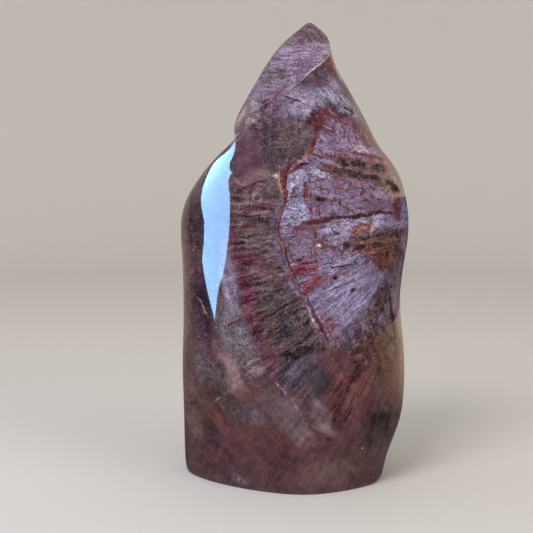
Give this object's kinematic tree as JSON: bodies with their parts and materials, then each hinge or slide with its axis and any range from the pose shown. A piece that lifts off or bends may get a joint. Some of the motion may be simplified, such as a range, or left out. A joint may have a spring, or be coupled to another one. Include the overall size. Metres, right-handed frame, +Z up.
{
  "type": "petrified wood flame carving",
  "caption": "Freestanding flame carving of polished petrified wood, twisted with winding ridges up to a rounded tip, standing on a flat foot.",
  "frame": {"origin": "middle of the bounding box's bottom face, on the surface that the carving stands on", "axes": "+Z up to the tip, -Y towards the viewer and the polished front face, +X to the viewer's right"},
  "size_m": [0.0869, 0.066, 0.17],
  "materials": {
    "petrified_wood": "polished petrified wood, banded maroon, mauve, olive and brick red"
  },
  "bodies": {
    "root": {"flame_stone": "petrified_wood"}
  },
  "joints": []
}
